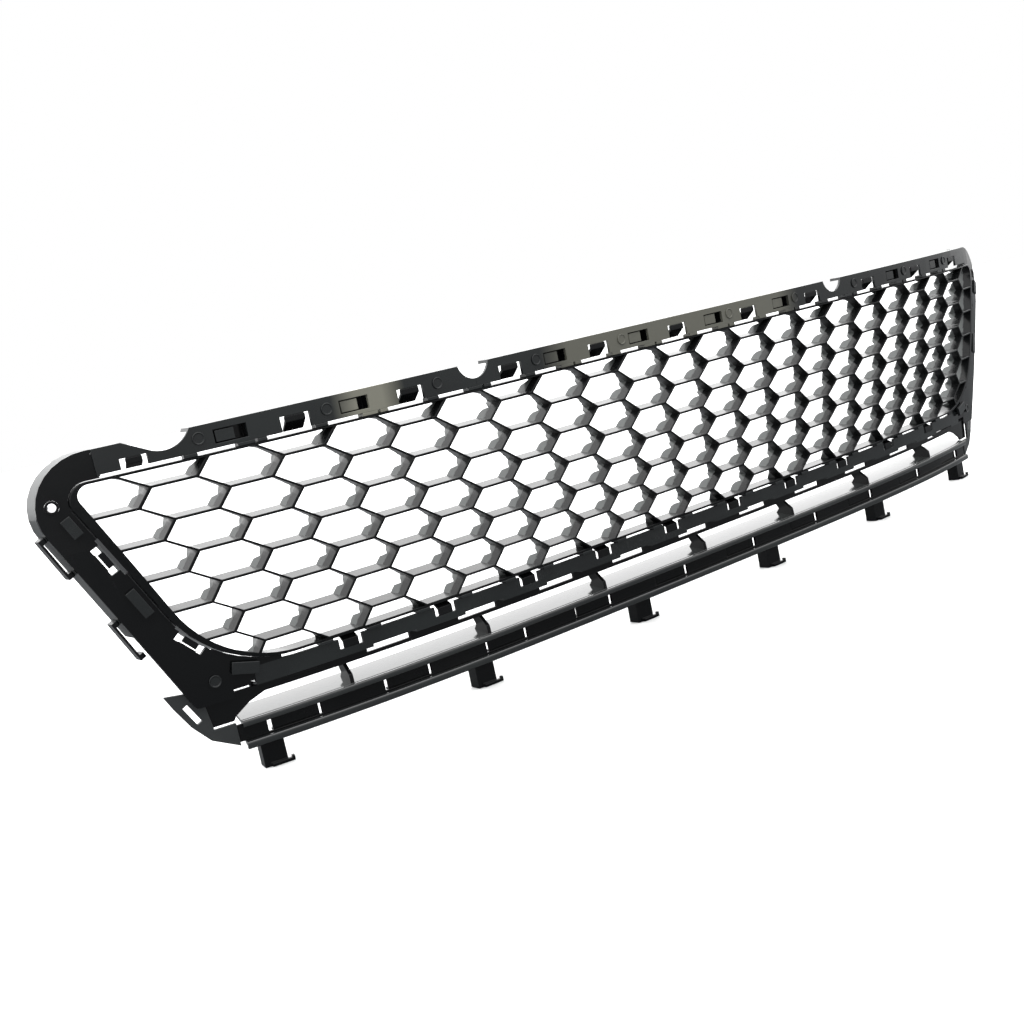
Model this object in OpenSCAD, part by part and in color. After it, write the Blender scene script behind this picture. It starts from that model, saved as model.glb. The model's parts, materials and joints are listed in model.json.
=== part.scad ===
// Lower centre bumper grille: a honeycomb insert in a clipped carrier frame,
// over a narrow air slot and a bottom blade that stands on six hook feet.
// Frame: +X to the right as seen from the front, -Y is the front, +Z up.
// Origin: middle of the width and of the depth, at the foot soles.

/* [Output] */
// Which named node to draw

/* [Overall] */
// Height of the lattice centre line above the foot soles
lattice_z = 209; // [180:1:240]
// Second-order plan sweep of the face, per metre
sweep_2 = 0.0313; // [0:0.001:0.1]
// Fourth-order plan sweep of the face, per cubic metre
sweep_4 = 0.48; // [0:0.01:1]

// How far the face curves back with height, per metre
droop = 0.399; // [0:0.001:1]
// Lean of the tall sheets that stands for that curve, in degrees
lean = 3.5; // [0:0.1:6]
// Height below which the tall sheets lean
knee = -20; // [-60:1:0]
// Distance from the face at mid-width back to the middle of the part's depth
depth_mid = 39.95; // [0:0.1:60]

/* [Honeycomb] */
// Side length of a cell along the width
cell_side = 31.5; // [24:0.5:40]
// Half the height of a cell
cell_half = 12.75; // [9:0.05:18]
// Wall thickness of the cells
wall = 1.9; // [1.2:0.1:3]
// Depth of the cells from front to back
mesh_depth = 20; // [12:1:35]
// How much the columns spread for each mm of height
fan = 0.000854; // [0:0.00001:0.002]
// Thickness of the insert's rim
rim = 2.6; // [1.5:0.1:4]

/* [Carrier] */
// Thickness of the moulded sheet
sheet = 2.6; // [2:0.1:4]
// Half width of the carrier at lattice height
half_w = 568; // [520:1:620]
// Top edge of the carrier above the lattice centre line
top_z = 47; // [40:1:60]
// Inner edge of the top rail above the lattice centre line
rail_in = 28.8; // [24:1:32]
// Spacing of the stations along the top rail
top_pitch = 96; // [80:1:110]
// Depth of the return flange behind the outer edge
return_d = 13; // [6:1:20]

// Radius of the locating hole in each top corner
hole_r = 3; // [2:0.1:4]
// Outer radius of the locating boss
boss_r = 4.8; // [4:0.1:8]
// Length of the locating hole
boss_len = 20; // [4:0.5:24]

/* [Tongues] */
// Width of a top snap tongue
tongue_w = 16; // [10:1:20]
// Clear slit on each side of a tongue
slit = 3.4; // [2:0.1:5]
// Gap at a tongue's root that stands for its living hinge
root_gap = 0.5; // [0.3:0.1:1]
// Spacing of the bottom tongues
low_pitch = 83.5; // [70:0.5:100]
// Width of a bottom snap tongue
low_w = 12.5; // [8:1:18]

/* [Lower slot and blade] */
// Spacing of the struts
strut_pitch = 127; // [100:1:150]
// Thickness of a strut
strut_t = 3.2; // [2:0.1:6]
// Upper lip of the blade, below the lattice centre line
lip_z = -168.5; // [-180:1:-160]
// Height of each lip
lip_h = 5.2; // [3:0.5:8]
// Depth of the blade's top shelf
shelf_d = 32; // [20:1:45]
// Spacing of the blade's clip slots
clip_pitch = 95; // [70:1:110]
// Half width of the blade
blade_half = 470; // [440:1:520]

/* [Feet] */
// Width of a foot
foot_w = 18; // [12:1:24]

/* [Hidden] */
black = [0.02, 0.023, 0.024];
slate = [0.05, 0.058, 0.06];
eps = 0.01;
seg = 24;
// insert outline: half widths at its top and bottom lines, and those lines
in_ht = 553.2;
in_hb = 478.1;
in_zt = 26.3;
in_zb = -129.2;
in_rt = 13;
in_rb = 92;
// the insert's opening, inside its rim
op_ht = 544.4;
op_hb = 474.7;
op_zt = 24.3;
op_zb = -127.2;
op_rt = 8;
op_rb = 89;
// carrier outline
out_ht = half_w + 20.3;
out_hb = half_w - 72.3;
out_zb = -150;
gap = 2.5;
corner_x = 525;
boss_x = 556;
boss_z = 14;

function plan(x) = x*x*sweep_2/1000 + pow(x, 4)*sweep_4/1000000000;
function slope(x) = atan(2*x*sweep_2/1000 + 4*pow(x, 3)*sweep_4/1000000000);

// Rounded trapezoid, symmetric about x = 0, moved inwards by w
function side_tan(ht, hb, zt, zb) = (ht - hb)/(zt - zb);
function side_x(ht, hb, zt, zb, z) = ht - (zt - z)*side_tan(ht, hb, zt, zb);
function corner(cx, cz, r, a0, a1, n = 10) =
  [for (i = [0:n]) let (a = a0 + (a1 - a0)*i/n) [cx + r*cos(a), cz + r*sin(a)]];
function trap_half(ht, hb, zt, zb, rt, rb, w) =
  let (k = side_tan(ht, hb, zt, zb), al = atan(k), c = cos(al),
       zt2 = zt - w, zb2 = zb + w, r1 = rt - w, r2 = rb - w,
       x1 = side_x(ht, hb, zt, zb, zt2 - r1) - w/c - r1/c,
       x2 = side_x(ht, hb, zt, zb, zb2 + r2) - w/c - r2/c)
  concat(corner(x1, zt2 - r1, r1, 90, -al), corner(x2, zb2 + r2, r2, -al, -90));
function mirrored(p) = concat(p, [for (i = [len(p) - 1:-1:0]) [-p[i][0], p[i][1]]]);
module insert_shape(w = 0) {
  polygon(mirrored(trap_half(in_ht, in_hb, in_zt, in_zb, in_rt, in_rb, w)));
}
module opening_shape() {
  polygon(mirrored(trap_half(op_ht, op_hb, op_zt, op_zb, op_rt, op_rb, 0)));
}
module carrier_shape(w = 0) {
  polygon(mirrored(trap_half(out_ht, out_hb, top_z, out_zb, 38, 3.2, w)));
}

// Sheet that follows the plan sweep: x0..x1, front face y0, back face y1
module band(x0, x1, y0, y1, z0, z1) {
  n = max(1, ceil((x1 - x0)/seg));
  xs = [for (i = [0:n]) x0 + (x1 - x0)*i/n];
  translate([0, 0, z0])
    linear_extrude(z1 - z0)
      polygon(concat([for (x = xs) [x, plan(x) + y0]],
                     [for (i = [n:-1:0]) [xs[i], plan(xs[i]) + y1]]));
}
// How far back the face is at height z
function back(z) = z*z*droop/1000;
function drop(z) = max(0, knee - z)*sin(lean);
// The band, leant back below the knee, for the tall sheets
module leant(y0, y1) {
  band(-590, 590, y0, y1, knee, 90);
  intersection() {
    translate([0, 0, knee])
      rotate([lean, 0, 0])
        band(-590, 590, y0, y1, -240, 40);
    translate([-700, -200, knee - 300])
      cube([1400, 600, 300]);
  }
}
// Front-view shape cut through the whole depth
module through(y0 = -30, y1 = 120) {
  translate([0, y1, 0])
    rotate([90, 0, 0])
      linear_extrude(y1 - y0)
        children();
}
module rect(x, z, w, h) {
  translate([x - w/2, z - h/2])
    square([w, h]);
}
// Child turned to the face's direction at x
module on_face(x, y = 0) {
  translate([x, plan(x) + y, 0])
    rotate([0, 0, slope(x)])
      children();
}

// ---------------------------------------------------------------- insert
module cell(cu, cv) {
  h = cell_half - wall/2;
  l = norm([cell_half, cell_side/2]);
  a = cell_side/2 - wall/2*(l - cell_side/2)/cell_half;
  b = cell_side - wall/2*l/cell_half;
  zc = cv*cell_half;
  pts = [[-b, 0], [-a, h], [a, h], [b, 0], [a, -h], [-a, -h]];
  polygon([for (p = pts) [(cu*cell_side/2 + p[0])*(1 + fan*(zc + p[1])), zc + p[1]]]);
}
module honeycomb_insert() {
  color(black)
    intersection() {
      through()
        difference() {
          insert_shape();
          intersection() {
            opening_shape();
            for (c = [-12:12])
              for (r = [-5:1])
                cell(3*c, 2*r + abs(c % 2));
          }
        }
      leant(0, mesh_depth);
    }
}
module pad_at(x, z, w, h, y = 0) {
  on_face(x, y)
    translate([-w/2, 0, z])
      cube([w, 9, h]);
}
module insert_rim_pads() {
  color(slate) {
    for (i = [1:10])
      for (p = [[19, 10], [59, 13], [71, 7]])
        pad_at((i == 1 ? -482 : station(i)) + p[0], in_zt, p[1], rail_in - in_zt);
    for (x = [-4:5])
      for (dx = [-20, 20])
        pad_at((x - 0.5)*low_pitch + dx, in_zb - gap, 11, gap, back(in_zb));
  }
}

// --------------------------------------------------------------- carrier
// The carrier leaves a gap above and below the insert, and meets it at the sides
module carrier_ring() {
  difference() {
    carrier_shape();
    insert_shape(-0.4);
    intersection() {
      insert_shape(-gap);
      union() {
        translate([-523, 0])
          square([1046, 60]);
        translate([-430, -140])
          square([860, 60]);
      }
    }
  }
}
module notch(x) {
  translate([x, top_z + 3])
    circle(r = 15, $fn = 48);
}
// Clearance notch at the left end: a round on the right, a ramp on the left
module wide_notch() {
  translate([-479, top_z + 10])
    circle(r = 21.5, $fn = 96);
  polygon([[-507, top_z + 1], [-506, top_z], [-488, top_z - 9.5], [-470, top_z], [-470, top_z + 20]]);
}
// Stations of the top tongues; the outermost left one stands further out
function station(i) = i == 1 ? -500 : i == 11 ? 479 : (i - 6)*top_pitch;
function slot_top(i) = i == 1 ? rail_in + 7.4 : rail_in + 11;
function tongue_width(i) = i == 1 ? 11.5 : tongue_w;
module tongue_slot(i) {
  w = tongue_width(i) + 2*slit;
  translate([station(i) - w/2, rail_in - 3])
    square([w, slot_top(i) - rail_in + 3]);
}
module window_cut(x) {
  rect(x - 0.5, rail_in + 8, 24, 10);
}
module top_cuts() {
  for (i = [1:11])
    tongue_slot(i);
  for (i = [-5, -4, -2, -1, 1, 2, 4, 5])
    window_cut((i - sign(i)*0.5)*top_pitch);
  for (s = [-1, 1])
    notch(s*227);
  wide_notch();
}
module top_part(x0, x1) {
  color(slate) {
    intersection() {
      through()
        difference() {
          intersection() {
            carrier_ring();
            translate([x0, rail_in - 1])
              square([x1 - x0, 40]);
          }
          top_cuts();
        }
      band(x0, x1, 0, sheet, 0, 60);
    }
    intersection() {
      through()
        difference() {
          carrier_shape();
          carrier_shape(sheet);
          for (s = [-1, 1])
            notch(s*227);
          wide_notch();
        }
      band(x0, x1, sheet, return_d, 30, top_z + 1);
    }
  }
}
module top_rail_left() {
  top_part(-corner_x, -227);
}
module top_rail_centre() {
  top_part(-227, 227);
}
module top_rail_right() {
  top_part(227, corner_x);
}
module top_corner(s) {
  color(slate)
    intersection() {
      through()
        intersection() {
          carrier_ring();
          union() {
            translate([s > 0 ? corner_x : -600, -4])
              square([600 - corner_x, 60]);
            intersection() {
              carrier_shape(sheet + 0.3);
              translate([s > 0 ? corner_x - 3 : -corner_x, -4])
                square([3, 60]);
            }
          }
        }
      difference() {
        band(-590, 590, sheet, 2*sheet, -10, 60);
        on_face(s*boss_x, 3)
          translate([0, -30, boss_z])
            rotate([-90, 0, 0])
              cylinder(r = boss_r + 0.1, h = 60, $fn = 64);
      }
    }
}
module top_corner_left() {
  top_corner(-1);
}
module top_corner_right() {
  top_corner(1);
}
function inner_x(z) = side_x(in_ht, in_hb, in_zt, in_zb, z);
// Side tongue's opening: a strip along the insert and a slit at each end
module side_slot(s, x, z, a) {
  translate([s*x, z])
    rotate(-s*a)
      mirror([s > 0 ? 0 : 1, 0]) {
        translate([-1.4, -16])
          square([3.4, 31]);
        translate([-1, 7.2])
          square([9.5, 4]);
        translate([-1, -11.2])
          square([9.5, 4]);
        translate([-1, -11])
          square([9, 22]);
      }
}
module side_flange(s) {
  color(slate)
    intersection() {
      through()
        difference() {
          intersection() {
            carrier_ring();
            translate([s > 0 ? 400 : -600, out_zb])
              square([200, -4 - out_zb]);
          }
          side_slot(s, inner_x(-27), -27, 26);
          side_slot(s, 487, -98, 43);
          translate([s > 0 ? 0 : -452, out_zb - 1])
            square([452, rail_zt - out_zb + 1]);
          polygon([for (p = [[433, -141.4], [468.5, -141.4], [468.5, -152], [433, -152]])
                   [s*p[0], p[1]]]);
        }
      leant(sheet, 2*sheet);
    }
}
module side_flange_left() {
  side_flange(-1);
}
module side_flange_right() {
  side_flange(1);
}
module side_return(s) {
  color(slate)
    intersection() {
      through()
        intersection() {
          difference() {
            carrier_shape();
            carrier_shape(2.2);
          }
          translate([s > 0 ? corner_x : -600, -128])
            square([600 - corner_x, 190]);
        }
      leant(2*sheet, 2*sheet + 16);
    }
}
module side_return_left() {
  side_return(-1);
}
module side_return_right() {
  side_return(1);
}
module side_clip(s, z) {
  x = side_x(out_ht, out_hb, top_z, out_zb, z);
  translate([s*x, plan(x) + 9 + drop(z), z])
    rotate([0, s*25.2, 0])
      difference() {
        translate([s > 0 ? 0.2 : -5.2, 0, -17])
          cube([5, 9, 34]);
        translate([s > 0 ? 0.2 : -3.4, -1, -13])
          cube([3.2, 11, 26]);
      }
}
module side_clips(s) {
  color(black) {
    side_clip(s, -20);
    side_clip(s, -88);
  }
}
module side_clips_left() {
  side_clips(-1);
}
module side_clips_right() {
  side_clips(1);
}
module side_pad(s, z, l = 15) {
  x = inner_x(z) + 8;
  translate([s*x, plan(x) + 1.5 + drop(z), z])
    rotate([0, s*26, s*slope(x)])
      translate([-3.8, -3, -l/2])
        cube([7.6, 3, l]);
}
module side_pads(s) {
  color(slate) {
    side_pad(s, -2);
    side_pad(s, -64, 22);
    translate([s*458, plan(458) + 1.5 + drop(-130), -130])
      rotate([0, -s*14, s*slope(458)])
        translate([-10, -3, -4.5])
          cube([20, 3, 9]);
  }
}
module side_pads_left() {
  side_pads(-1);
}
module side_pads_right() {
  side_pads(1);
}
module window_blocks() {
  color(slate)
    for (i = [-5, -4, -2, -1, 1, 2, 4, 5])
      on_face((i - sign(i)*0.5)*top_pitch, sheet + 1)
        translate([-11, -2.6, rail_in + 3.8])
          cube([14, 10.2, 8.4]);
}
module window_pockets() {
  color(black)
    for (i = [-5, -4, -2, -1, 1, 2, 4, 5])
      on_face((i - sign(i)*0.5)*top_pitch, sheet + 0.6)
        difference() {
          translate([-14.6, 0, rail_in + 1.4])
            cube([28.2, 10, 13.2]);
          translate([-13, -1, rail_in + 3])
            cube([25, 9, 10]);
        }
}
module ring_boss(x, z, r = 4.6) {
  on_face(x)
    translate([0, -0.12, z])
      rotate([90, 0, 0])
        difference() {
          cylinder(r = r, h = 0.9, $fn = 32);
          translate([0, 0, 0.3])
            cylinder(r = r - 1, h = 1, $fn = 32);
        }
}
module station_bosses() {
  color(slate) {
    for (s = [-1, 1])
      for (i = [0:3])
        ring_boss(s*(i*top_pitch + 69 + (i > 1 ? 2 : 0)), 38);
    for (s = [-1, 1])
      ring_boss(s*455.3, 38);
    for (s = [-1, 1])
      translate([s*480, plan(480) + 2 + drop(-133.8), -133.8])
        rotate([90, 0, s*slope(481)])
          difference() {
            cylinder(r = 4.6, h = 0.9, $fn = 32);
            translate([0, 0, 0.3])
              cylinder(r = 3.6, h = 1, $fn = 32);
          }
  }
}
module locating_boss(s) {
  color(slate)
    on_face(s*boss_x, 3)
      translate([0, boss_len - 1.8, boss_z])
        rotate([90, 0, 0])
          difference() {
            cylinder(r = boss_r, h = boss_len, $fn = 64);
            translate([0, 0, -1])
              cylinder(r = hole_r, h = boss_len + 2, $fn = 64);
          }
}
module locating_boss_left() {
  locating_boss(-1);
}
module locating_boss_right() {
  locating_boss(1);
}

// ------------------------------------------------------------ bottom rail
rail_zt = in_zb - gap;
rail_y = 9.4;
rail_zm = -143.5;
rail_zb = -151;
module bottom_rail() {
  color(slate)
    difference() {
      union() {
        band(-452, 452, rail_y, rail_y + sheet, rail_zm, rail_zt);
        band(-452, 452, rail_y, rail_y + 12, rail_zm - 2, rail_zm);
      }
      through()
        for (i = [-4:5])
          rect((i - 0.5)*low_pitch, rail_zt - 1.5, low_w + 7, 12.6);
      low_slots();
    }
}
// Long openings under the rail, one to the right of each tongue
module low_slots() {
  through()
    for (i = [-4:5])
      rect((i - 0.5)*low_pitch + 36, -147.2, 38, 7.4);
}
module bottom_rail_lip() {
  color(black)
    difference() {
      band(-452, 452, rail_y + 12, rail_y + 12 + sheet, rail_zb - 3, rail_zm);
      low_slots();
    }
}
module corner_web(s) {
  color(black)
    intersection() {
      through()
        polygon([for (p = [[452, -141], [468.6, -141], [468.6, -139], [489, -139], [487, -164],
                           [486, lip_z], [470, lip_z], [468, lip_z + 3], [456.5, -158],
                           [444, -153.4], [428, -150.4], [402, -150.2], [402, -147.2], [433, -147.2],
                           [468.6, -147.2], [468.6, -146], [452, -146]])
                 [s*p[0], p[1]]]);
      band(-590, 590, 18.5, 18.5 + sheet, -180, -100);
    }
}
module corner_web_left() {
  corner_web(-1);
}
module corner_web_right() {
  corner_web(1);
}
module strut(x) {
  zt = rail_zb - 3;
  zb = lip_z;
  zm = (zt + zb)/2 - 0.5;
  on_face(x)
    translate([-strut_t/2, 0, 0])
      rotate([90, 0, 90])
        linear_extrude(strut_t)
          polygon([[24, zt], [36, zt], [31, zm], [37, zb], [14.8, zb], [15.4, zm]]);
}
module struts() {
  color(black)
    for (i = [-3:3])
      strut(i*strut_pitch);
}
module blade_shelf() {
  color(black)
    band(-blade_half, blade_half, blade_y + 4, blade_y + shelf_d, lip_z - 3, lip_z);
}
module blade_upper_lip() {
  color(slate)
    band(-blade_half, blade_half, blade_y, blade_y + 4, lip_z - lip_h, lip_z);
}
blade_y = 10.6;
module blade_channel() {
  color(black)
    difference() {
      band(-blade_half, blade_half, blade_y + 5.6, blade_y + 5.6 + sheet, lip_z - 16, lip_z - 3);
      through()
        for (i = [-4:5])
          rect((i - 0.5)*clip_pitch, lip_z - 10.2, 42, 9);
    }
}
module blade_lower_lip() {
  color(slate) {
    band(-blade_half, blade_half, blade_y, blade_y + 4, lip_z - 22, lip_z - 22 + lip_h + 0.8);
    band(-blade_half, blade_half, blade_y + 4, blade_y + 5.6 + sheet, lip_z - 18.6, lip_z - 16);
  }
}
module blade_clip_tabs() {
  color(black)
    for (i = [-4:5])
      on_face((i - 0.5)*clip_pitch, blade_y + 5.6 + sheet + 0.15)
        translate([-17, 0, lip_z - 16.4])
          difference() {
            cube([37, 6, 11]);
            translate([-1, 2.4, 2])
              cube([39, 5, 12]);
          }
}
module end_wing(s) {
  color(slate)
    intersection() {
      through()
        difference() {
          polygon([for (p = [[514, -136], [509, -147], [500, -163.5], [489, -177], [470.4, -187],
                             [470.4, lip_z - 1], [486, lip_z - 1], [488.4, -150], [493, -138.5]])
                   [s*p[0], p[1]]]);
          translate([s*498, -154])
            rotate(s*-27)
              square([4.2, 16], center = true);
        }
      band(-590, 590, 15.5, 15.5 + sheet, -200, -120);
    }
}
module end_wing_left() {
  end_wing(-1);
}
module end_wing_right() {
  end_wing(1);
}
foot_y = 15;
function foot_x(i) = sign(i - 3.5)*[88, 265, 449][abs(i - 3.5) - 0.5];
module foot(i) {
  x = foot_x(i);
  zb = -lattice_z;
  h = lattice_z + lip_z - 22;
  color(black)
    on_face(x, foot_y) {
      translate([-foot_w/2, 0, zb])
        difference() {
          cube([foot_w, 12, h]);
          translate([2.6, 2.6, 2.6])
            cube([foot_w - 5.2, 11, h]);
        }
      translate([-4, -3, zb])
        cube([foot_w - 0.5, 3, 2.6]);
      translate([foot_w - 6.5, -3, zb + 2.6])
        cube([2, 3, 1.6]);
    }
}

// --------------------------------------------------------------- tongues
module top_tongue(i) {
  x = station(i);
  w = tongue_width(i);
  zr = slot_top(i) - root_gap;
  color(black)
    on_face(x)
      translate([-w/2, 0, 0])
        rotate([90, 0, 90])
          linear_extrude(w)
            polygon([[0.2, zr], [2.6, zr], [2.6, zr - 2.6], [10.6, rail_in + 0.8],
                     [9.4, rail_in - 0.6], [0.2, zr - 4]]);
}
module bottom_tongues() {
  color(black)
    for (i = [-4:5])
      on_face((i - 0.5)*low_pitch, rail_y)
        translate([-low_w/2, 0, 0])
          rotate([90, 0, 90])
            linear_extrude(low_w)
              polygon([[0.1, rail_zt - 7.8], [2.5, rail_zt - 7.8], [2.5, rail_zt - 3],
                       [8, rail_zt + 0.6], [6.8, rail_zt + 1.8], [0.1, rail_zt - 1.6]]);
}
module side_tongue(s, x, z, a) {
  translate([s*x, plan(x) + 2.7 + drop(z), z])
    rotate([0, s*a, s*slope(x)])
      translate([s > 0 ? 2.8 : -7.4, 0, -6])
        cube([4.6, 2.4, 12]);
}
module side_tongues() {
  color(black)
    for (s = [-1, 1]) {
      side_tongue(s, inner_x(-27), -27, 26);
      side_tongue(s, 487, -98, 43);
    }
}
module up() {
  translate([0, -depth_mid, lattice_z])
    children();
}

up() honeycomb_insert();
up() insert_rim_pads();
up() top_rail_left();
up() top_rail_centre();
up() top_rail_right();
up() top_corner_left();
up() top_corner_right();
up() side_flange_left();
up() side_flange_right();
up() side_return_left();
up() side_return_right();
up() side_clips_left();
up() side_clips_right();
up() side_pads_left();
up() side_pads_right();
up() window_blocks();
up() window_pockets();
up() station_bosses();
up() locating_boss_left();
up() locating_boss_right();
up() bottom_rail();
up() bottom_rail_lip();
up() corner_web_left();
up() corner_web_right();
up() struts();
up() blade_shelf();
up() blade_upper_lip();
up() blade_channel();
up() blade_lower_lip();
up() blade_clip_tabs();
up() end_wing_left();
up() end_wing_right();
up() foot(1);  // foot_1
up() foot(2);  // foot_2
up() foot(3);  // foot_3
up() foot(4);  // foot_4
up() foot(5);  // foot_5
up() foot(6);  // foot_6
up() top_tongue(1);  // top_tongue_1
up() top_tongue(2);  // top_tongue_2
up() top_tongue(3);  // top_tongue_3
up() top_tongue(4);  // top_tongue_4
up() top_tongue(5);  // top_tongue_5
up() top_tongue(6);  // top_tongue_6
up() top_tongue(7);  // top_tongue_7
up() top_tongue(8);  // top_tongue_8
up() top_tongue(9);  // top_tongue_9
up() top_tongue(10);  // top_tongue_10
up() top_tongue(11);  // top_tongue_11
up() bottom_tongues();
up() side_tongues();
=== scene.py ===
"""Looks of the lower centre bumper grille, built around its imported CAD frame."""

import json
import logging
from dataclasses import dataclass
from enum import Enum
from typing import Optional

import bmesh
import bpy
import numpy as np
from mathutils import Matrix, Vector
from mathutils.geometry import delaunay_2d_cdt


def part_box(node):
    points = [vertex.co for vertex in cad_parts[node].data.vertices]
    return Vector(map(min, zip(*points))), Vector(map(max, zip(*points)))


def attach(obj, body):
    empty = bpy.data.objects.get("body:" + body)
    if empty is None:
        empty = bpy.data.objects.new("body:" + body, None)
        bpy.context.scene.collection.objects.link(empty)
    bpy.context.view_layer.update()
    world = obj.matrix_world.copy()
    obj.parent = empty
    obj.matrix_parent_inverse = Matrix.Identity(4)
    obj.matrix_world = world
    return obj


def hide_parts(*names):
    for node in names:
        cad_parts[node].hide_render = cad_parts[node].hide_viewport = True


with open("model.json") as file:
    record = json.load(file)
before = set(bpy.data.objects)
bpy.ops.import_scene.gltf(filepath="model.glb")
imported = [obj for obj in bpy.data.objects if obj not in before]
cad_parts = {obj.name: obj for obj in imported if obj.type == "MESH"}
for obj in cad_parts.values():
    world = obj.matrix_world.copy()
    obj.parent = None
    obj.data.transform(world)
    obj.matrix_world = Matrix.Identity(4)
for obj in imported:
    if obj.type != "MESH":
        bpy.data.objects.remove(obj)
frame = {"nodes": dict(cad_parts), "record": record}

logging.basicConfig(level=logging.INFO, format="%(name)s: %(message)s")
LOG = logging.getLogger("grille")
MM = 0.001
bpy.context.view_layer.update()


class Finish(Enum):
    """The record's finishes, by material slot."""

    GLOSS = "gloss_black"
    SATIN = "satin_black"


# ------------------------------------------------------------------ shader groups
class ShaderGroup:
    """A reusable node group with named inputs and outputs."""

    def __init__(self, name: str, inputs: dict[str, float], outputs: dict[str, str]) -> None:
        """Makes an empty group.

        Args:
            name: the group's name.
            inputs: float inputs with their default values.
            outputs: outputs with their socket types.
        """
        self.tree = bpy.data.node_groups.new(name, "ShaderNodeTree")
        for key, value in inputs.items():
            socket = self.tree.interface.new_socket(key, in_out="INPUT", socket_type="NodeSocketFloat")
            socket.default_value = value
        for key, kind in outputs.items():
            self.tree.interface.new_socket(key, in_out="OUTPUT", socket_type=kind)
        self.source = self.tree.nodes.new("NodeGroupInput")
        self.sink = self.tree.nodes.new("NodeGroupOutput")

    def node(self, kind: str, **values: object) -> bpy.types.Node:
        """A new node with its attributes set.

        Args:
            kind: the node's bl_idname.
            values: attributes to set on it.

        Returns:
            The node.
        """
        made = self.tree.nodes.new(kind)
        for key, value in values.items():
            setattr(made, key, value)
        return made

    def link(self, start: bpy.types.NodeSocket, end: bpy.types.NodeSocket) -> None:
        """Joins two sockets."""
        self.tree.links.new(start, end)

    def noise(self, scale: float, detail: float, rough: float = 0.5) -> bpy.types.Node:
        """Fractal noise on Object coordinates.

        Args:
            scale: the noise's scale, per metre.
            detail: its number of octaves.
            rough: how strong the finer octaves are.

        Returns:
            The noise node.
        """
        place = self.node("ShaderNodeTexCoord")
        made = self.node("ShaderNodeTexNoise")
        made.inputs["Scale"].default_value = scale
        made.inputs["Detail"].default_value = detail
        made.inputs["Roughness"].default_value = rough
        self.link(place.outputs["Object"], made.inputs["Vector"])
        return made

    def maths(self, operation: str, first: object, second: object, clamp: bool = False) -> bpy.types.NodeSocket:
        """A Math node on two sockets or numbers.

        Args:
            operation: the Math node's operation.
            first: a socket or a number.
            second: a socket or a number.
            clamp: whether the result is kept from 0 to 1.

        Returns:
            The node's output socket.
        """
        made = self.node("ShaderNodeMath", operation=operation, use_clamp=clamp)
        for slot, value in zip(made.inputs, (first, second)):
            if isinstance(value, (int, float)):
                slot.default_value = value
            else:
                self.link(value, slot)
        return made.outputs[0]

    def ramp(self, value: bpy.types.NodeSocket, low: float, high: float) -> bpy.types.NodeSocket:
        """A smooth step of value from low to high.

        Args:
            value: the socket to read.
            low: where the step starts.
            high: where it ends.

        Returns:
            The step's socket, from 0 to 1.
        """
        made = self.node("ShaderNodeMapRange", interpolation_type="SMOOTHSTEP")
        made.inputs["From Min"].default_value = low
        made.inputs["From Max"].default_value = high
        self.link(value, made.inputs["Value"])
        return made.outputs["Result"]


# ------------------------------------------------------------------ the part's sizes
@dataclass(frozen=True)
class Face:
    """The part's curved front face, in metres; depth_mid moves it back to the frame's origin."""

    lattice_z: float = 0.209
    depth_mid: float = 0.03995
    second: float = 0.0313
    fourth: float = 0.48
    droop: float = 0.399

    def plan(self, x: np.ndarray) -> np.ndarray:
        """Depth of the face at x: second times x squared plus fourth times x to the fourth."""
        return self.second * x ** 2 + self.fourth * x ** 4 - self.depth_mid

    def back(self, z: np.ndarray) -> np.ndarray:
        """How far back the face is at a height z from the lattice's line."""
        return self.droop * z ** 2

    def slope(self, x: np.ndarray) -> np.ndarray:
        """The face's angle to the X axis at x, in radians: the arc tangent of the plan's derivative."""
        return np.arctan(2 * self.second * x + 4 * self.fourth * x ** 3)


FACE = Face()


def mould_skin() -> bpy.types.NodeTree:
    """The skin of an injection moulding: orange-peel height, flow-line haze and fine scuffs.

    Returns:
        The node group.
    """
    g = ShaderGroup("mould_skin", {"Base Roughness": 0.12, "Haze": 0.06, "Peel": 1.0},
                    {"Roughness": "NodeSocketFloat", "Height": "NodeSocketFloat", "Haze Mask": "NodeSocketFloat"})
    peel = g.noise(260.0, 2.0)
    fine = g.noise(1900.0, 3.0, 0.6)
    flow = g.noise(9.0, 5.0, 0.62)
    haze = g.ramp(flow.outputs["Fac"], 0.42, 0.66)
    scuff = g.ramp(fine.outputs["Fac"], 0.6, 0.78)
    rough = g.maths("MULTIPLY_ADD", haze, g.source.outputs["Haze"])
    g.link(g.source.outputs["Base Roughness"], rough.node.inputs[2])
    rough = g.maths("ADD", rough, g.maths("MULTIPLY", scuff, 0.05), clamp=True)
    height = g.maths("MULTIPLY", peel.outputs["Fac"], g.source.outputs["Peel"])
    height = g.maths("ADD", height, g.maths("MULTIPLY", fine.outputs["Fac"], 0.12))
    g.link(rough, g.sink.inputs["Roughness"])
    g.link(height, g.sink.inputs["Height"])
    g.link(haze, g.sink.inputs["Haze Mask"])
    return g.tree


def edge_wear() -> bpy.types.NodeTree:
    """Where a moulding's edges and parting lines have worn pale: a mask from Pointiness and noise.

    Returns:
        The node group.
    """
    g = ShaderGroup("edge_wear", {"Amount": 0.5}, {"Mask": "NodeSocketFloat"})
    geometry = g.node("ShaderNodeNewGeometry")
    edge = g.ramp(geometry.outputs["Pointiness"], 0.53, 0.64)
    broken = g.ramp(g.noise(420.0, 4.0, 0.65).outputs["Fac"], 0.38, 0.7)
    mask = g.maths("MULTIPLY", edge, broken)
    mask = g.maths("MULTIPLY", mask, g.source.outputs["Amount"], clamp=True)
    g.link(mask, g.sink.inputs["Mask"])
    return g.tree


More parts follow.
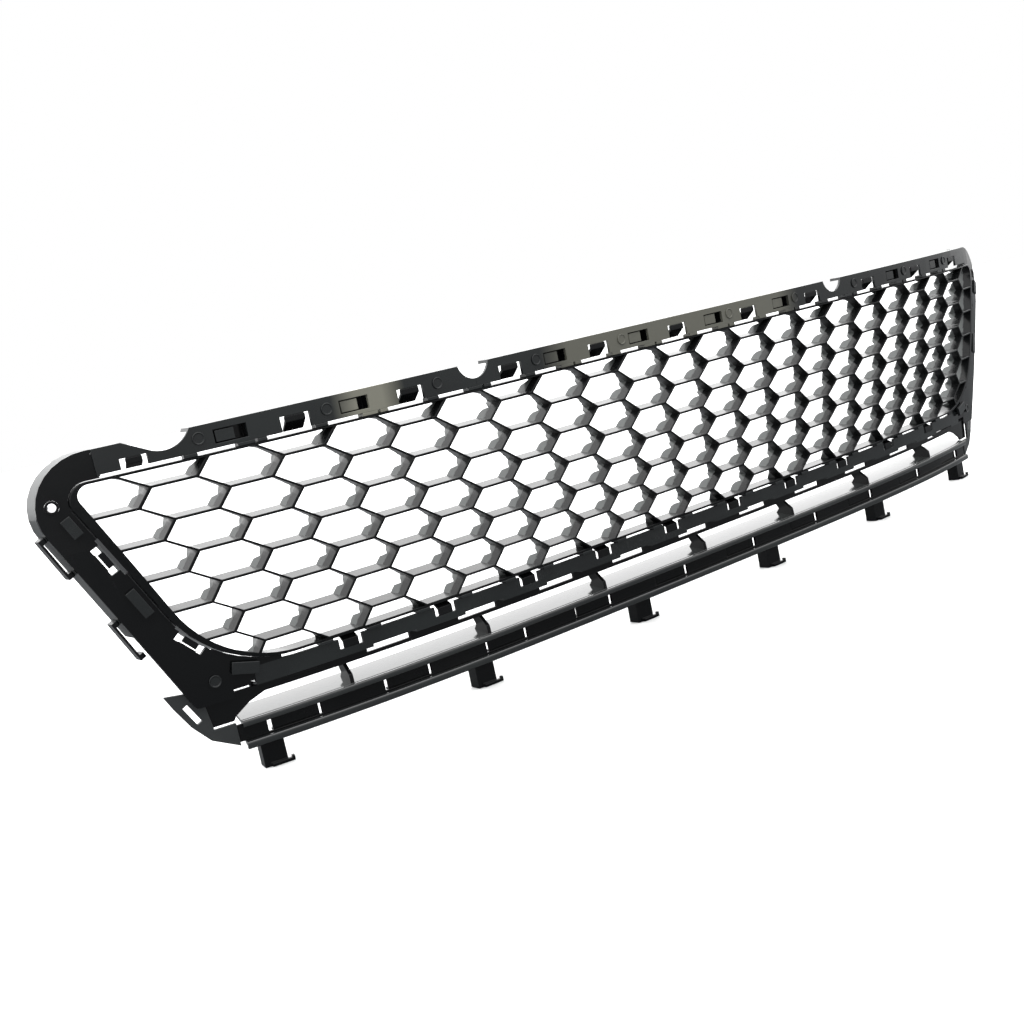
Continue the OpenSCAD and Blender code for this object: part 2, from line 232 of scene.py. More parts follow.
def settled_dust() -> bpy.types.NodeTree:
    """Dust that lies on faces that look up, broken by noise.

    Returns:
        The node group.
    """
    g = ShaderGroup("settled_dust", {"Amount": 0.2}, {"Mask": "NodeSocketFloat"})
    geometry = g.node("ShaderNodeNewGeometry")
    split = g.node("ShaderNodeSeparateXYZ")
    g.link(geometry.outputs["Normal"], split.inputs[0])
    up = g.ramp(split.outputs["Z"], 0.35, 0.95)
    grain = g.ramp(g.noise(800.0, 5.0, 0.7).outputs["Fac"], 0.45, 0.72)
    mask = g.maths("MULTIPLY", g.maths("MULTIPLY", up, grain), g.source.outputs["Amount"], clamp=True)
    g.link(mask, g.sink.inputs["Mask"])
    return g.tree


def olive_highlight_patches() -> bpy.types.NodeTree:
    """Painted olive highlight along stretches of the top rail, by place along the part.

    Returns:
        The node group.
    """
    g = ShaderGroup("olive_highlight_patches",
                    {"Near Start": -0.355, "Near End": -0.292, "Far Start": -0.16, "Far End": 0.17},
                    {"Mask": "NodeSocketFloat"})
    place = g.node("ShaderNodeTexCoord")
    split = g.node("ShaderNodeSeparateXYZ")
    g.link(place.outputs["Object"], split.inputs[0])
    masks = []
    for start, end, soft in (("Near Start", "Near End", 0.02), ("Far Start", "Far End", 0.03)):
        past = g.maths("SUBTRACT", split.outputs["X"], g.source.outputs[start])
        left = g.maths("SUBTRACT", g.source.outputs[end], split.outputs["X"])
        rise = g.maths("DIVIDE", past, soft, clamp=True)
        fall = g.maths("DIVIDE", left, soft, clamp=True)
        masks.append(g.maths("MULTIPLY", rise, fall))
    both = g.maths("MAXIMUM", masks[0], g.maths("MULTIPLY", masks[1], 0.55))
    front = g.ramp(split.outputs["Z"], 0.232, 0.236)
    g.link(g.maths("MULTIPLY", both, front), g.sink.inputs["Mask"])
    return g.tree


def wall_depth() -> bpy.types.NodeTree:
    """The mask for a painted reflection on lattice walls: how near the curved face a wall's surface is, 1 at the
    face and 0 at the rear, and whether it slants.

    Returns:
        The node group.
    """
    g = ShaderGroup("wall_depth", {"Start": 0.0088, "End": 0.0104},
                    {"Front": "NodeSocketFloat", "Slanted": "NodeSocketFloat"})
    place = g.node("ShaderNodeTexCoord")
    split = g.node("ShaderNodeSeparateXYZ")
    g.link(place.outputs["Object"], split.inputs[0])
    square = g.maths("MULTIPLY", split.outputs["X"], split.outputs["X"])
    sweep = g.maths("ADD", g.maths("MULTIPLY", square, FACE.second),
                    g.maths("MULTIPLY", g.maths("MULTIPLY", square, square), FACE.fourth))
    height = g.maths("SUBTRACT", split.outputs["Z"], FACE.lattice_z)
    bow = g.maths("MULTIPLY", g.maths("MULTIPLY", height, height), FACE.droop)
    depth = g.maths("SUBTRACT", g.maths("ADD", split.outputs["Y"], FACE.depth_mid), g.maths("ADD", sweep, bow))
    edge = g.maths("MULTIPLY", g.maths("SUBTRACT", g.noise(190.0, 2.0).outputs["Fac"], 0.5), 0.004)
    reach = g.maths("SUBTRACT", g.maths("ADD", depth, edge), g.source.outputs["Start"])
    span = g.maths("SUBTRACT", g.source.outputs["End"], g.source.outputs["Start"])
    front = g.maths("SUBTRACT", 1.0, g.maths("DIVIDE", reach, span, clamp=True))
    geometry = g.node("ShaderNodeNewGeometry")
    normal = g.node("ShaderNodeSeparateXYZ")
    g.link(geometry.outputs["Normal"], normal.inputs[0])
    level = g.ramp(g.maths("ABSOLUTE", normal.outputs["Z"], 0.0), 0.9, 0.97)
    g.link(front, g.sink.inputs["Front"])
    g.link(g.maths("SUBTRACT", 1.0, level), g.sink.inputs["Slanted"])
    return g.tree


class Groups:
    """The shared shader groups, each built once."""

    def __init__(self) -> None:
        """Builds every group."""
        self.skin = mould_skin()
        self.wear = edge_wear()
        self.dust = settled_dust()
        self.highlight_patches = olive_highlight_patches()
        self.walls = wall_depth()


@dataclass(frozen=True)
class Plastic:
    """A moulded plastic finish.

    Attributes are linear colours and shader numbers. The olive highlight strength is how far the painted olive
    highlight shows, and the rear grey is the brightness of a painted reflection on the rear of slanted lattice
    walls, or 0 for none.
    """

    name: str
    finish: Finish
    base: tuple[float, float, float]
    haze_tint: tuple[float, float, float]
    roughness: float
    haze: float
    peel: float
    wear: float
    dust: float
    olive_highlight: float = 0.0
    specular: float = 0.5
    coat: float = 0.0
    rear_reflection_grey: float = 0.0

    def build(self, groups: Groups) -> bpy.types.Material:
        """Makes the material.

        Args:
            groups: the shared shader groups.

        Returns:
            The material.
        """
        material = bpy.data.materials.new(self.name)
        material.use_nodes = True
        nodes, links = material.node_tree.nodes, material.node_tree.links
        shader = nodes["Principled BSDF"]

        def place(tree: bpy.types.NodeTree, **values: float) -> bpy.types.Node:
            """Places a group with its values."""
            made = nodes.new("ShaderNodeGroup")
            made.node_tree = tree
            for key, value in values.items():
                made.inputs[key.replace("_", " ")].default_value = value
            return made

        skin = place(groups.skin, Base_Roughness=self.roughness, Haze=self.haze, Peel=self.peel)
        wear = place(groups.wear, Amount=self.wear)
        dust = place(groups.dust, Amount=self.dust)
        layers = [(skin.outputs["Haze Mask"], self.haze_tint),
                  (wear.outputs["Mask"], (0.16, 0.17, 0.165)),
                  (dust.outputs["Mask"], (0.3, 0.3, 0.28))]
        # Painted highlight: an olive tint on stretches of the top rail.
        if self.olive_highlight > 0:
            olive_highlight = place(groups.highlight_patches)
            scale = nodes.new("ShaderNodeMath")
            scale.operation = "MULTIPLY"
            scale.inputs[1].default_value = self.olive_highlight
            links.new(olive_highlight.outputs["Mask"], scale.inputs[0])
            layers.append((scale.outputs[0], (0.27, 0.265, 0.215)))
        colour = None
        for mask, tint in layers:
            mix = nodes.new("ShaderNodeMix")
            mix.data_type = "RGBA"
            links.new(mask, mix.inputs["Factor"])
            if colour is None:
                mix.inputs["A"].default_value = (*self.base, 1)
            else:
                links.new(colour, mix.inputs["A"])
            mix.inputs["B"].default_value = (*tint, 1)
            colour = mix.outputs["Result"]
        # Painted reflection: the rear of slanted lattice walls is mixed to a pale grey.
        if self.rear_reflection_grey > 0:
            wall = place(groups.walls)
            rear = nodes.new("ShaderNodeMath")
            rear.operation = "MULTIPLY_ADD"
            rear.inputs[2].default_value = 1.0
            rear.inputs[1].default_value = -1.0
            links.new(wall.outputs["Front"], rear.inputs[0])
            both = nodes.new("ShaderNodeMath")
            both.operation = "MULTIPLY"
            links.new(rear.outputs[0], both.inputs[0])
            links.new(wall.outputs["Slanted"], both.inputs[1])
            mix = nodes.new("ShaderNodeMix")
            mix.data_type = "RGBA"
            links.new(both.outputs[0], mix.inputs["Factor"])
            links.new(colour, mix.inputs["A"])
            mix.inputs["B"].default_value = (self.rear_reflection_grey, self.rear_reflection_grey * 1.06, self.rear_reflection_grey * 1.05, 1)
            colour = mix.outputs["Result"]
        links.new(colour, shader.inputs["Base Color"])
        links.new(skin.outputs["Roughness"], shader.inputs["Roughness"])
        bump = nodes.new("ShaderNodeBump")
        bump.inputs["Strength"].default_value = 0.12
        bump.inputs["Distance"].default_value = 0.0003
        links.new(skin.outputs["Height"], bump.inputs["Height"])
        links.new(bump.outputs["Normal"], shader.inputs["Normal"])
        shader.inputs["IOR"].default_value = 1.5
        shader.inputs["Specular IOR Level"].default_value = self.specular
        shader.inputs["Coat Weight"].default_value = self.coat
        shader.inputs["Coat Roughness"].default_value = 0.06
        return material


# The carrier's top rail carries the painted olive highlight.
GLOSS_CARRIER = Plastic("carrier_gloss", Finish.GLOSS, (0.009, 0.011, 0.0115), (0.014, 0.017, 0.0175),
                        0.2, 0.035, 0.45, 0.05, 0.04, olive_highlight=0.9)
GLOSS_DEEP = Plastic("deep_gloss", Finish.GLOSS, (0.0035, 0.004, 0.0045), (0.006, 0.0065, 0.007),
                     0.16, 0.03, 0.6, 0.04, 0.03, specular=0.25)
# The lattice's slanted walls carry a painted reflection, grey towards their rear.
GLOSS_LATTICE = Plastic("lattice_gloss", Finish.GLOSS, (0.005, 0.0055, 0.006), (0.009, 0.01, 0.0105),
                        0.17, 0.06, 0.8, 0.05, 0.04, specular=0.15, rear_reflection_grey=0.12)
GLOSS_BLADE = Plastic("blade_gloss", Finish.GLOSS, (0.010, 0.012, 0.0125), (0.016, 0.019, 0.0185),
                      0.15, 0.04, 0.5, 0.08, 0.05, specular=0.9, coat=0.4)
SATIN_EDGE = Plastic("return_satin", Finish.SATIN, (0.03, 0.033, 0.034), (0.045, 0.049, 0.05),
                     0.3, 0.06, 1.0, 0.06, 0.06)


def new_mesh(name: str, points: np.ndarray, faces: list, material: bpy.types.Material,
             smooth: bool = True) -> bpy.types.Object:
    """An object from points and faces, with shared points merged and normals pointing out.

    Args:
        name: the object's name.
        points: an n by 3 array, in metres.
        faces: index tuples, or an index array.
        material: its material.
        smooth: whether its faces are smooth, split at sharp edges.

    Returns:
        The object.
    """
    mesh = bpy.data.meshes.new(name)
    mesh.from_pydata(points.tolist(), [], faces.tolist() if isinstance(faces, np.ndarray) else faces)
    work = bmesh.new()
    work.from_mesh(mesh)
    bmesh.ops.remove_doubles(work, verts=work.verts, dist=1e-6)
    bmesh.ops.recalc_face_normals(work, faces=work.faces)
    work.to_mesh(mesh)
    work.free()
    mesh.materials.append(material)
    made = bpy.data.objects.new(name, mesh)
    bpy.context.scene.collection.objects.link(made)
    if smooth:
        mesh.shade_smooth()
        mesh.set_sharp_from_angle(angle=np.radians(32))
    return made


def rounded_profile(corners: list[tuple[float, float]], radius: float, steps: int = 4) -> np.ndarray:
    """A closed profile whose corners are quadratic curves that start and end radius from the corner.

    Args:
        corners: (depth, height) corners in order, in metres.
        radius: how far from the corner the curve starts.
        steps: points per corner.

    Returns:
        An n by 2 array.
    """
    c = np.array(corners, float)
    before, after = np.roll(c, 1, 0) - c, np.roll(c, -1, 0) - c
    cut = [np.minimum(radius, 0.45 * np.linalg.norm(v, axis=1, keepdims=True)) for v in (before, after)]
    a = c + before / np.linalg.norm(before, axis=1, keepdims=True) * cut[0]
    b = c + after / np.linalg.norm(after, axis=1, keepdims=True) * cut[1]
    t = np.linspace(0, 1, steps + 1)[None, :, None]
    return ((1 - t) ** 2 * a[:, None] + 2 * t * (1 - t) * c[:, None] + t ** 2 * b[:, None]).reshape(-1, 2)


def sweep_plan(profile: np.ndarray, x: np.ndarray) -> tuple[np.ndarray, list]:
    """A closed profile carried along the face's plan sweep, capped at both ends.

    A point is at the plan at x plus the profile's depth along the face's normal, and at the profile's height.

    Args:
        profile: an m by 2 array of (depth, height).
        x: the stations along the width.

    Returns:
        The points and the faces.
    """
    m, n = len(profile), len(x)
    angle = FACE.slope(x)[:, None]
    d, z = profile[None, :, 0], profile[None, :, 1]
    points = np.stack(np.broadcast_arrays(x[:, None] - np.sin(angle) * d,
                                          FACE.plan(x)[:, None] + np.cos(angle) * d, z), -1).reshape(-1, 3)
    i, j = np.meshgrid(np.arange(n - 1), np.arange(m), indexing="ij")
    k = (j + 1) % m
    quads = np.stack([i * m + j, i * m + k, (i + 1) * m + k, (i + 1) * m + j], -1).reshape(-1, 4).tolist()
    quads.append(list(range(m - 1, -1, -1)))
    quads.append([(n - 1) * m + v for v in range(m)])
    return points, quads


# ------------------------------------------------------------------ honeycomb insert
@dataclass(frozen=True)
class Trapezoid:
    """A trapezoid with rounded corners, symmetrical about mid-width. Sizes are in metres."""

    top_half: float
    low_half: float
    top: float
    low: float
    top_radius: float
    low_radius: float

    def outline(self, inset: float = 0.0, arc: int = 14) -> np.ndarray:
        """The outline moved inwards: straight sides joined by arcs tangent to both.

        Args:
            inset: how far inwards.
            arc: points per rounded corner.

        Returns:
            The outline's (x, z) points, anticlockwise.
        """
        tangent = (self.top_half - self.low_half) / (self.top - self.low)
        lean = np.arctan(tangent)
        top, low = self.top - inset, self.low + inset
        r1, r2 = self.top_radius - inset, self.low_radius - inset

        def centre(z: float, r: float) -> float:
            """Where an arc's centre is at height z."""
            return self.top_half - (self.top - z) * tangent - (inset + r) / np.cos(lean)

        a1, a2 = np.linspace(np.pi / 2, -lean, arc), np.linspace(-lean, -np.pi / 2, arc)
        upper = np.stack([centre(top - r1, r1) + r1 * np.cos(a1), top - r1 + r1 * np.sin(a1)], -1)
        lower = np.stack([centre(low + r2, r2) + r2 * np.cos(a2), low + r2 + r2 * np.sin(a2)], -1)
        right = np.concatenate([upper, lower])
        return np.concatenate([right, right[::-1] * [-1, 1]])[::-1]


@dataclass
class HoneycombInsert:
    """The lattice of stretched hexagons in its rounded frame. Sizes are in metres."""

    side: float = 0.0315
    half: float = 0.01275
    wall: float = 0.0019
    depth: float = 0.0195
    fan: float = 0.854
    outer: Trapezoid = Trapezoid(0.5532, 0.4781, 0.0263, -0.1292, 0.013, 0.092)
    inner: Trapezoid = Trapezoid(0.5444, 0.4747, 0.0243, -0.1272, 0.008, 0.089)
    lip: float = 0.0004
    rise: float = 0.078
    cell_step: float = 0.0034
    rim_step: float = 0.012
    least_edge: float = 2e-5
    least_area: float = 4e-6

    def opening(self, column: int, row: int) -> np.ndarray:
        """A cell's opening: a hexagon moved inwards by half a wall, spread by height.

        Args:
            column: the cell's column, 0 at mid-width.
            row: its row, in half cells.

        Returns:
            Six (x, z) corners, anticlockwise.
        """
        s, h, w = self.side, self.half, self.wall / 2
        length = np.hypot(h, s / 2)
        a = s / 2 - w * (length - s / 2) / h
        b = s - w * length / h
        hw = h - w
        p = np.array([(b, 0), (a, hw), (-a, hw), (-b, 0), (-a, -hw), (a, -hw)])
        p = p + [column * 1.5 * s, row * h]
        p[:, 0] *= 1 + self.fan * p[:, 1]
        return p

    @staticmethod
    def clip(poly: np.ndarray, hull: np.ndarray) -> np.ndarray:
        """A convex polygon cut by a convex hull, one edge after the other.

        Args:
            poly: the polygon's points, anticlockwise.
            hull: the hull's points, anticlockwise.

        Returns:
            The points that are left, perhaps none.
        """
        for a, b in zip(hull, np.roll(hull, -1, 0)):
            if len(poly) < 3:
                return poly[:0]
            e = b - a
            if np.hypot(*e) < 1e-9:
                continue
            side = e[0] * (poly[:, 1] - a[1]) - e[1] * (poly[:, 0] - a[0])
            kept = []
            for p, q, sp, sq in zip(poly, np.roll(poly, -1, 0), side, np.roll(side, -1)):
                if sp >= 0:
                    kept.append(p)
                if sp * sq < 0:
                    kept.append(p + (q - p) * sp / (sp - sq))
            poly = np.array(kept).reshape(-1, 2)
        return poly

    @staticmethod
    def divide(poly: np.ndarray, pitch: float) -> np.ndarray:
        """The polygon with points added so that no edge is longer than pitch.

        Args:
            poly: its corners.
            pitch: the longest edge allowed.

        Returns:
            The divided polygon.
        """
        parts = []
        for p, q in zip(poly, np.roll(poly, -1, 0)):
            n = max(1, int(np.ceil(np.hypot(*(q - p)) / pitch)))
            parts.append(p + (q - p) * (np.arange(n) / n)[:, None])
        return np.concatenate(parts)

    @staticmethod
    def grow(poly: np.ndarray, amount: float) -> np.ndarray:
        """The polygon moved outwards by amount along its edges' mean normals.

        Args:
            poly: its points, anticlockwise.
            amount: how far.

        Returns:
            The moved points.
        """
        e1, e2 = poly - np.roll(poly, 1, 0), np.roll(poly, -1, 0) - poly
        n1 = np.stack([e1[:, 1], -e1[:, 0]], -1) / np.maximum(np.linalg.norm(e1, axis=1, keepdims=True), 1e-9)
        n2 = np.stack([e2[:, 1], -e2[:, 0]], -1) / np.maximum(np.linalg.norm(e2, axis=1, keepdims=True), 1e-9)
        n = n1 + n2
        return poly + n / np.maximum((n * n).sum(1, keepdims=True) / 2, 0.5) * amount

    def rear(self, p: np.ndarray) -> np.ndarray:
        """Depth of the walls' rear edge at (x, z).

        In the lattice's own coordinates a falling wall deepens along its length in small teeth and a rising wall
        has a narrow waist; level walls keep the full depth.

        Args:
            p: (x, z) points.

        Returns:
            The depth at each, in metres.
        """
        x = p[:, 0] / (1 + self.fan * p[:, 1])
        u = x / (self.side / 2)
        v = p[:, 1] / self.half
        phase = np.mod(u, 6.0)
        # between u = 1..2 and 4..5 of each 6 the walls slant; they rise or fall with the parity of the row
        first = (phase > 1) & (phase < 2)
        second = (phase > 4) & (phase < 5)
        across = np.where(first, phase - 1, phase - 4)
        level = np.mod(v, 2.0)
        # which half of a cell's height a wall is in tells a rising one from a falling one
        rising = np.where(first, level > 1, level < 1)
        waist = 0.0095 * np.exp(-((across - 0.6) / 0.13) ** 2)
        swing = self.depth - waist - 0.0025 * np.clip((across - 0.7) / 0.3, 0, 1)
        taper = 0.0065 + 0.0125 * across - 0.001 * (np.mod(across * 4, 1.0) < 0.5)
        depth = np.where(first | second, np.where(rising, swing, taper), self.depth)
        edge = self.border_share(p)
        return depth * (1 - edge) + self.depth * edge

    def border_share(self, p: np.ndarray) -> np.ndarray:
        """1 on the frame's rim and 0 from 3 mm inside it."""
        hull = self.inner.outline()
        a, b = hull, np.roll(hull, -1, 0)
        e = b - a
        ln = np.maximum(np.linalg.norm(e, axis=1), 1e-9)
        dx, dz = p[:, None, 0] - a[None, :, 0], p[:, None, 1] - a[None, :, 1]
        d = (e[None, :, 0] * dz - e[None, :, 1] * dx) / ln
        return np.clip(1 - d.min(1) / 0.003, 0, 1)

    def place(self, p: np.ndarray, depth: np.ndarray) -> np.ndarray:
        """Points at (x, z) and a depth behind the curved face, drawn slightly upwards to the rear.

        Args:
            p: (x, z) points on the face.
            depth: the depth at each.

        Returns:
            The points in the row frame.
        """
        lift = self.rise * depth * (1 - self.border_share(p))
        return np.stack([p[:, 0], FACE.plan(p[:, 0]) + FACE.back(p[:, 1]) + depth,
                         p[:, 1] + lift + FACE.lattice_z], -1)

    def build(self, material: bpy.types.Material) -> bpy.types.Object:
        """Builds the insert: a front and a rear web with the openings cut out, joined by the cells' walls.

        Args:
            material: its plastic.

        Returns:
            The piece.
        """
        inner = self.inner.outline()
        cells = []
        for column in range(-11, 12):
            for row in range(-11, 5):
                if (row - abs(column)) % 2:
                    continue
                poly = self.clip(self.opening(column, row), inner)
                if len(poly) < 3:
                    continue
                after = np.roll(poly, -1, 0)
                area = 0.5 * abs(np.sum(poly[:, 0] * after[:, 1] - after[:, 0] * poly[:, 1]))
                keep = np.linalg.norm(poly - np.roll(poly, 1, 0), axis=1) > self.least_edge
                if area > self.least_area:
                    cells.append(self.divide(poly[keep], self.cell_step))
        rings = [self.grow(c, self.lip) for c in cells]
        outer = self.divide(self.outer.outline(self.lip), self.rim_step)
        rim_outer = self.grow(outer, self.lip)
        flat = np.concatenate([outer, *rings])
        loops, start = [], 0
        for ring in [outer, *rings]:
            loops.append(list(range(start, start + len(ring))))
            start += len(ring)
        verts, _, faces, origin, _, face_of = delaunay_2d_cdt(
            [Vector(q) for q in flat], [], loops, 0, 1e-7)
        web = np.array([tuple(q) for q in verts])
        source = np.array([o[0] if o else -1 for o in origin])
        cover = [f for f, ids in zip(faces, face_of) if ids == [0]]
        depth = self.rear(web)
        points = [self.place(web, np.zeros(len(web))), self.place(web, depth)]
        made = [tuple(f) for f in cover] + [tuple(v + len(web) for v in f[::-1]) for f in cover]
        back_to = np.full(len(flat), -1)
        back_to[source[source >= 0]] = np.nonzero(source >= 0)[0]
        base = 2 * len(web)
        for k, true in enumerate([rim_outer, *cells]):
            ids = back_to[loops[k]]
            behind = self.rear(true if k else outer)
            n = len(true)
            step = self.lip * 1.2
            points += [self.place(true, np.full(n, step)), self.place(true, behind - step)]
            a, b = np.arange(n), np.roll(np.arange(n), -1)
            front, back = ids, ids + len(web)
            for lo, hi in ((front, base + a), (base + a, base + n + a), (base + n + a, back)):
                made += [tuple(q) for q in np.stack([lo, np.roll(lo, -1), np.roll(hi, -1), hi], -1).tolist()]
            base += 2 * n
        piece = new_mesh("honeycomb_skin", np.concatenate(points), made, material)
        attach(piece, "carrier")
        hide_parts("honeycomb_insert")
        LOG.info("honeycomb_skin: %d cells, %d faces", len(cells), len(piece.data.polygons))
        return piece


# ------------------------------------------------------------------ swept mouldings
@dataclass
class Moulding:
    """A long moulding of one profile that follows the face, standing for a CAD node."""

    name: str
    node: str
    profile: list[tuple[float, float]]
    half_width: float
    radius: float

    def build(self, material: bpy.types.Material) -> bpy.types.Object:
        """Carries the rounded profile along the face.

        Args:
            material: its plastic.

        Returns:
            The piece.
        """
        corners = [(d * MM, FACE.lattice_z + z * MM) for d, z in self.profile]
        x = np.linspace(-self.half_width, self.half_width, 161)
        points, faces = sweep_plan(rounded_profile(corners, self.radius * MM), x)
        piece = new_mesh(self.name, points, faces, material)
        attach(piece, "carrier")
        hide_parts(self.node)
        LOG.info("%s: %d faces", self.name, len(piece.data.polygons))
        return piece


# ------------------------------------------------------------------ hinge webs
@dataclass
class HingeWebs:
    """The thin webs between each top tongue and the rail; they ride on the rail. Sizes are in metres."""

    tongue_depth: float = 0.0104
    inset: float = 0.0004
    thick: float = 0.0006
    above: float = 0.0011
    below: float = 0.0009

    def build(self, material: bpy.types.Material) -> bpy.types.Object:
        """Builds one web per joint, along the joint's axis and as wide as its tongue.

        Args:
            material: its plastic.

        Returns:
            The piece.
        """
        corners = np.array([(i, j, k) for i in (-1, 1) for j in (-1, 1) for k in (-1, 1)], float)
        sides = np.array([(0, 1, 3, 2), (4, 6, 7, 5), (0, 4, 5, 1), (2, 3, 7, 6), (0, 2, 6, 4), (1, 5, 7, 3)])
        points, faces = [], []
        for joint in frame["record"]["behaviour"]["joints"]:
            at, axis = np.array(joint["pos_m"]), np.array(joint["axis"])
            axis = axis / np.linalg.norm(axis)
            across = np.array([-axis[1], axis[0], 0.0])
            low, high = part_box(joint["child"])
            width = (high[0] - low[0] - self.tongue_depth * abs(axis[1])) / abs(axis[0])
            half = 0.5 * width - self.inset
            lift = np.where(corners[:, 2] > 0, self.above, -self.below)[:, None] * np.array([0, 0, 1.0])
            points.append(at + corners[:, :1] * half * axis + corners[:, 1:2] * self.thick * across + lift)
            faces += (sides + 8 * (len(points) - 1)).tolist()
        piece = new_mesh("hinge_web_skin", np.concatenate(points), faces, material, smooth=False)
        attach(piece, "carrier")
        LOG.info("hinge_web_skin: %d webs", len(points))
        return piece


# ------------------------------------------------------------------ dressed nodes
@dataclass
class DressedNode:
    """A CAD node's own shape with its moulded edge radius added."""

    node: str
    body: str
    radius: float

    def build(self, material: bpy.types.Material, slot: Finish) -> bpy.types.Object:
        """Copies the node, merges its flat faces and rounds its edges.

        Args:
            material: its plastic.
            slot: the record's finish; not used.

        Returns:
            The piece that stands for the node.
        """
        mesh = frame["nodes"][self.node].data.copy()
        mesh.materials.clear()
        mesh.materials.append(material)
        work = bmesh.new()
        work.from_mesh(mesh)
        bmesh.ops.remove_doubles(work, verts=work.verts, dist=2e-6)
        bmesh.ops.dissolve_limit(work, angle_limit=np.radians(0.4), verts=work.verts, edges=work.edges)
        bmesh.ops.recalc_face_normals(work, faces=work.faces)
        work.to_mesh(mesh)
        work.free()
        piece = bpy.data.objects.new(self.node + "_skin", mesh)
        bpy.context.scene.collection.objects.link(piece)
        mesh.shade_smooth()
        mesh.set_sharp_from_angle(angle=np.radians(24))
        bevel = piece.modifiers.new("edge radius", "BEVEL")
        bevel.width = self.radius * MM
        bevel.segments = 2
        bevel.limit_method = "ANGLE"
        bevel.angle_limit = np.radians(34)
        bevel.use_clamp_overlap = True
        bevel.harden_normals = False
        fair = piece.modifiers.new("face weight", "WEIGHTED_NORMAL")
        fair.keep_sharp = True
        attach(piece, self.body)
        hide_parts(self.node)
        LOG.info("%s: %d faces", piece.name, len(mesh.polygons))
        return piece


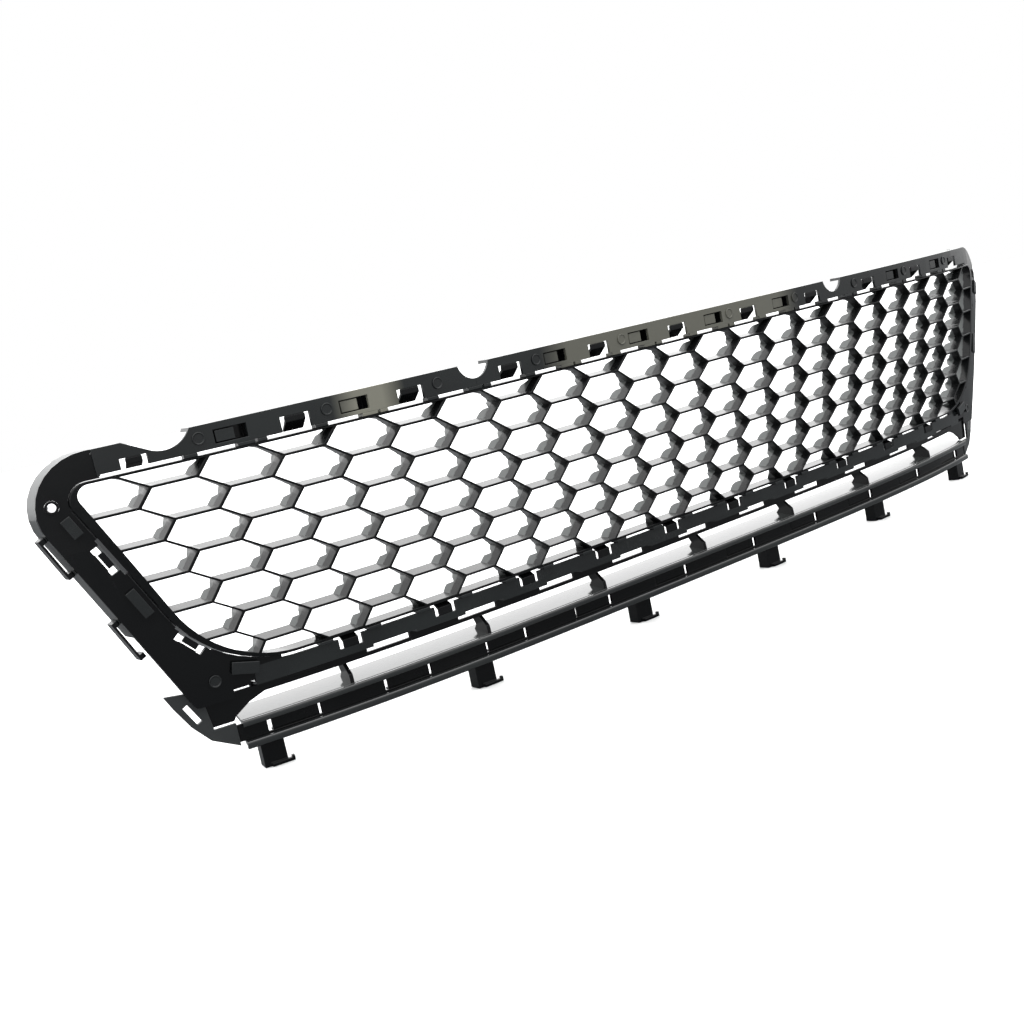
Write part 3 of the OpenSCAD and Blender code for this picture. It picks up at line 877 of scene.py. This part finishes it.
# ------------------------------------------------------------------ studio
@dataclass
class Studio:
    """A plain pale floor, a bright soft sky behind and above, and the camera."""

    camera_at: tuple[float, float, float] = (-0.83667, -0.8655, 0.2906)
    right: tuple[float, float, float] = (0.76671, -0.60993, -0.20038)
    up: tuple[float, float, float] = (0.25088, -0.00266, 0.96801)
    forward: tuple[float, float, float] = (0.59095, 0.79245, -0.15098)
    lens: float = 45.703

    def floor(self) -> bpy.types.Object:
        """A wide flat floor; glossy rays see it darker than the camera does."""
        x = np.linspace(-6, 6, 25)
        y = np.linspace(-6, 6, 25)
        gx, gy = np.meshgrid(x, y, indexing="ij")
        points = np.stack([gx, gy, np.full_like(gx, -0.0002)], -1).reshape(-1, 3)
        i, j = np.meshgrid(np.arange(24), np.arange(24), indexing="ij")
        quads = np.stack([i * 25 + j, (i + 1) * 25 + j, (i + 1) * 25 + j + 1, i * 25 + j + 1], -1).reshape(-1, 4)
        material = bpy.data.materials.new("pale_floor")
        material.use_nodes = True
        nodes, links = material.node_tree.nodes, material.node_tree.links
        shader = nodes["Principled BSDF"]
        shader.inputs["Base Color"].default_value = (0.93, 0.935, 0.935, 1)
        shader.inputs["Roughness"].default_value = 0.6
        shader.inputs["Specular IOR Level"].default_value = 0.1
        dim = nodes.new("ShaderNodeBsdfDiffuse")
        dim.inputs["Color"].default_value = (0.16, 0.165, 0.17, 1)
        ray = nodes.new("ShaderNodeLightPath")
        mix = nodes.new("ShaderNodeMixShader")
        links.new(ray.outputs["Is Camera Ray"], mix.inputs[0])
        links.new(dim.outputs[0], mix.inputs[1])
        links.new(shader.outputs[0], mix.inputs[2])
        links.new(mix.outputs[0], nodes["Material Output"].inputs["Surface"])
        made = new_mesh("floor", points, quads, material, smooth=False)
        return made

    def sky(self) -> None:
        """World light by direction: bright behind the part and above it, dim in front."""
        world = bpy.data.worlds.new("studio")
        bpy.context.scene.world = world
        world.use_nodes = True
        nodes, links = world.node_tree.nodes, world.node_tree.links
        back = nodes["Background"]
        place = nodes.new("ShaderNodeTexCoord")
        split = nodes.new("ShaderNodeSeparateXYZ")
        links.new(place.outputs["Generated"], split.inputs[0])

        def span(value: bpy.types.NodeSocket, low: float, high: float,
                 start: float, end: float) -> bpy.types.NodeSocket:
            """A smooth map of value from low..high to start..end."""
            made = nodes.new("ShaderNodeMapRange")
            made.interpolation_type = "SMOOTHSTEP"
            for key, number in (("From Min", low), ("From Max", high), ("To Min", start), ("To Max", end)):
                made.inputs[key].default_value = number
            links.new(value, made.inputs["Value"])
            return made.outputs["Result"]

        behind = span(split.outputs["Y"], -0.25, 0.65, 0.75, 2.3)
        above = span(split.outputs["Z"], 0.2, 0.95, 0.0, 1.6)
        total = nodes.new("ShaderNodeMath")
        total.operation = "ADD"
        links.new(behind, total.inputs[0])
        links.new(above, total.inputs[1])
        ray = nodes.new("ShaderNodeLightPath")
        strength = nodes.new("ShaderNodeMix")
        strength.data_type = "FLOAT"
        links.new(ray.outputs["Is Camera Ray"], strength.inputs["Factor"])
        links.new(total.outputs[0], strength.inputs["A"])
        strength.inputs["B"].default_value = 1.0
        links.new(strength.outputs["Result"], back.inputs["Strength"])
        back.inputs["Color"].default_value = (1, 1, 1, 1)

    def shoot(self) -> None:
        """Places the camera at its measured stance, whose axes are its rotation's columns."""
        data = bpy.data.cameras.new("camera")
        data.sensor_width = 36
        data.lens = self.lens
        data.clip_start, data.clip_end = 0.02, 60
        camera = bpy.data.objects.new("camera", data)
        bpy.context.scene.collection.objects.link(camera)
        turn = Matrix((self.right, self.up, tuple(-v for v in self.forward))).transposed()
        camera.matrix_world = Matrix.Translation(self.camera_at) @ turn.to_4x4()
        bpy.context.scene.camera = camera

    def build(self) -> None:
        """Builds the floor, the light and the camera."""
        self.floor()
        self.sky()
        self.shoot()
        bpy.context.scene.view_settings.view_transform = "Standard"


# ------------------------------------------------------------------ the grille
@dataclass
class Grille:
    """The whole part: insert, carrier, lower slot, blade and feet."""

    groups: Groups

    def materials(self) -> dict[str, bpy.types.Material]:
        """Every plastic by name."""
        return {p.name: p.build(self.groups)
                for p in (GLOSS_CARRIER, GLOSS_DEEP, GLOSS_LATTICE, GLOSS_BLADE, SATIN_EDGE)}

    def build(self) -> None:
        """Builds the sub-assemblies in order."""
        made = self.materials()
        HoneycombInsert().build(made["lattice_gloss"])
        swept = (Moulding("upper_lip_skin", "blade_upper_lip",
                          [(10.6, -173.7), (10.6, -168.5), (14.6, -168.5), (14.6, -173.7)], 0.47, 1.7),
                 Moulding("lower_lip_skin", "blade_lower_lip",
                          [(10.6, -190.5), (10.6, -184.5), (14.6, -184.5), (18.8, -184.5), (18.8, -187.1),
                           (14.6, -187.1), (14.6, -190.5)], 0.47, 1.7),
                 Moulding("shelf_skin", "blade_shelf",
                          [(14.6, -171.5), (14.6, -168.5), (42.6, -164.6), (42.6, -167.6)], 0.47, 0.5))
        for piece in swept:
            piece.build(made["blade_gloss"])
        HingeWebs().build(made["carrier_gloss"])
        done = {"honeycomb_insert", "blade_upper_lip", "blade_lower_lip", "blade_shelf"}
        carrier = ("top_rail", "bottom_rail", "station_bosses", "side_pads", "insert_rim_pads", "window_blocks")
        satin = ("side_return", "end_wing")
        for body, nodes in frame["record"]["behaviour"]["bodies"].items():
            for node in nodes:
                if node in done:
                    continue
                name, slot = "deep_gloss", Finish.GLOSS
                if node.startswith(satin):
                    name, slot = "return_satin", Finish.SATIN
                elif node.startswith(carrier) and node != "bottom_rail_lip":
                    name = "carrier_gloss"
                DressedNode(node, body, 0.35).build(made[name], slot)


def main(studio: Optional[Studio] = None) -> None:
    """Builds the grille and its studio.

    Args:
        studio: the studio to use, or none for the usual one.
    """
    Grille(Groups()).build()
    (studio or Studio()).build()


if __name__ == "__main__":
    main()
